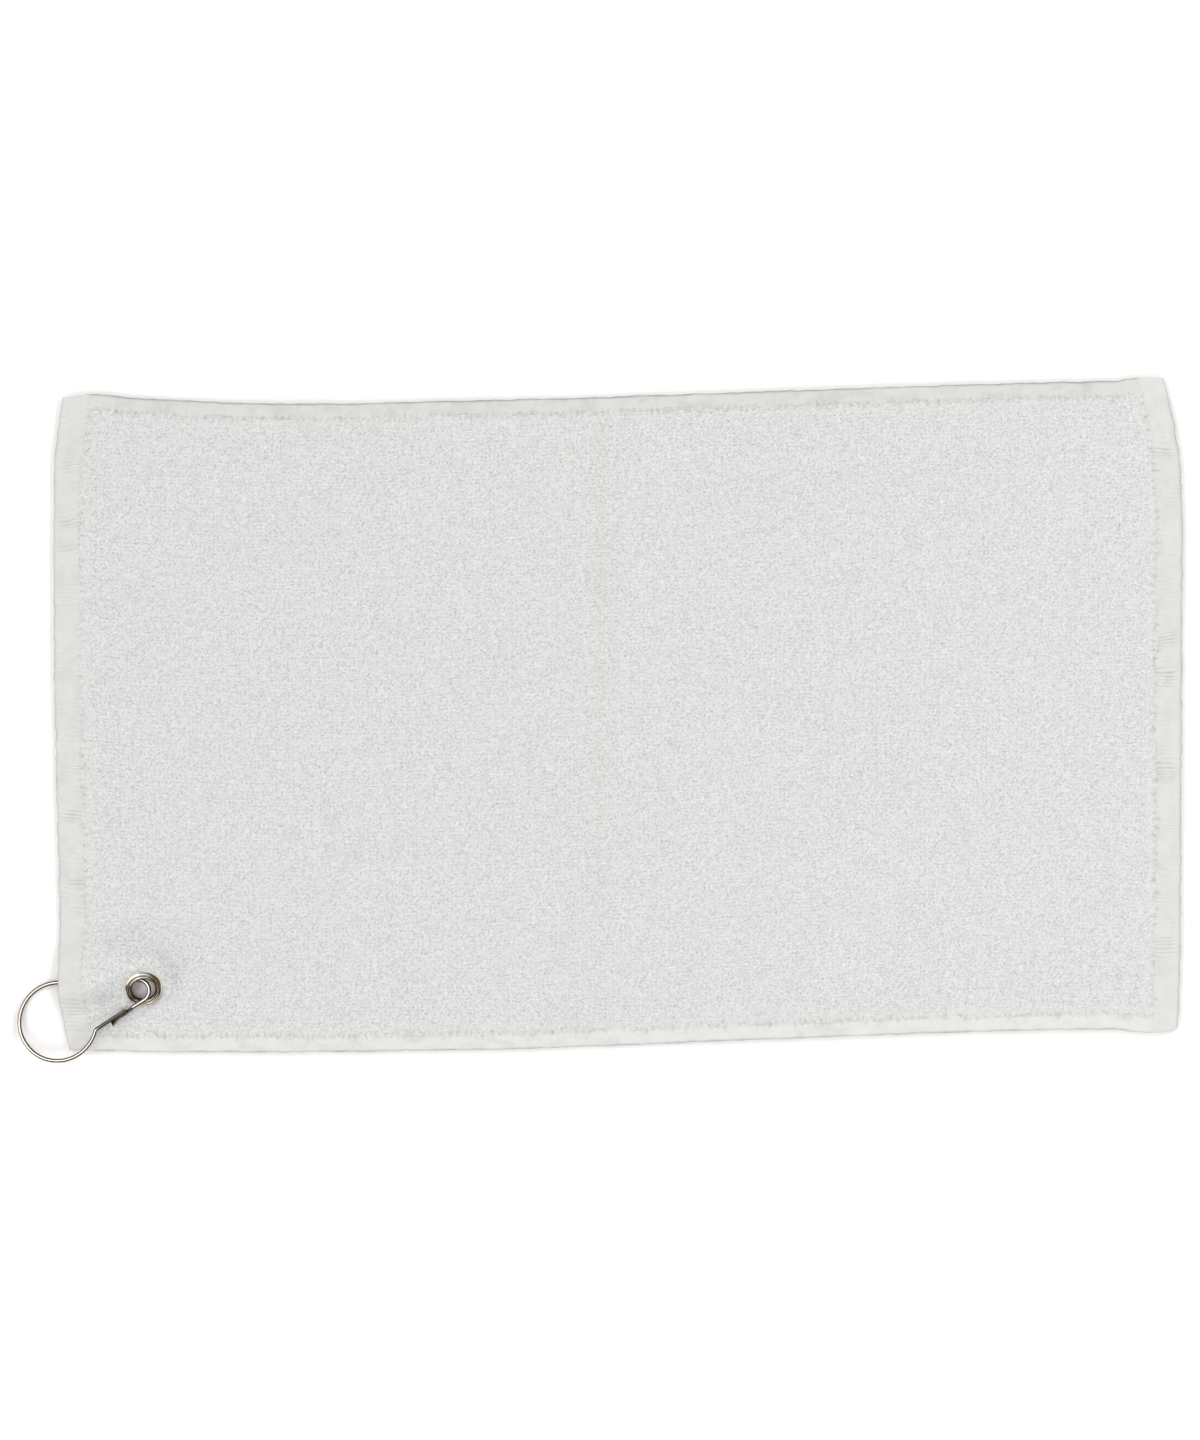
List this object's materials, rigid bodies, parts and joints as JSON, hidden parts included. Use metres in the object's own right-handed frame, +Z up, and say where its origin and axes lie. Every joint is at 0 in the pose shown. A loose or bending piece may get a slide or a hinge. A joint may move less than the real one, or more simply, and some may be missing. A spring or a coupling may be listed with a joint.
{
  "type": "golf towel",
  "caption": "Terry golf towel laid flat, with hemmed edges, a corner grommet and a pear-shaped spring-wire clip that hangs it on a bag.",
  "frame": {"origin": "middle of the footprint, on the surface that the towel lies on", "axes": "+X along the towel's length towards the end without the grommet, +Y across it away from the grommet corner, +Z up off the surface"},
  "size_m": [0.4987, 0.293, 0.0108],
  "materials": {
    "terry": "white cotton terry, looped pile on both faces",
    "hem": "warm white flat-woven cotton, turned over and stitched",
    "thread": "off-white sewing thread, lockstitched",
    "grommet_nickel": "bright nickel plate over pressed sheet",
    "clip_nickel": "bright nickel plate over spring wire"
  },
  "bodies": {
    "left_half": {"terry_left": "terry", "end_hem_left": "hem", "side_hem_bottom_left": "hem", "side_hem_top_left": "hem", "needle_thread_end_left": "thread", "bobbin_thread_end_left": "thread", "needle_thread_bottom_left": "thread", "bobbin_thread_bottom_left": "thread", "needle_thread_top_left": "thread", "bobbin_thread_top_left": "thread", "grommet_eyelet": "grommet_nickel", "grommet_washer": "grommet_nickel"},
    "right_half": {"terry_right": "terry", "end_hem_right": "hem", "side_hem_bottom_right": "hem", "side_hem_top_right": "hem", "needle_thread_end_right": "thread", "bobbin_thread_end_right": "thread", "needle_thread_bottom_right": "thread", "bobbin_thread_bottom_right": "thread", "needle_thread_top_right": "thread", "bobbin_thread_top_right": "thread"},
    "clip": {"clip_wire": "clip_nickel"},
    "gate": {"gate_arm": "clip_nickel"}
  },
  "joints": [
    {"name": "towel_fold", "type": "hinge", "parent": "left_half", "child": "right_half", "pos_m": [0.001, 0, 0.0029], "axis": [0, -1, 0], "range_deg": [0, 172]},
    {"name": "clip_roll", "type": "hinge", "parent": "left_half", "child": "clip", "pos_m": [-0.19473, -0.11573, 0.00463], "axis": [-0.941, -0.3369, -0.0332], "range_deg": [0, 106]},
    {"name": "gate_flex", "type": "hinge", "parent": "clip", "child": "gate", "pos_m": [-0.24751, -0.13463, 0.00277], "axis": [0.288, -0.7452, -0.6015], "range_deg": [0, 20], "stiffness_Nm_per_rad": 0.1}
  ]
}
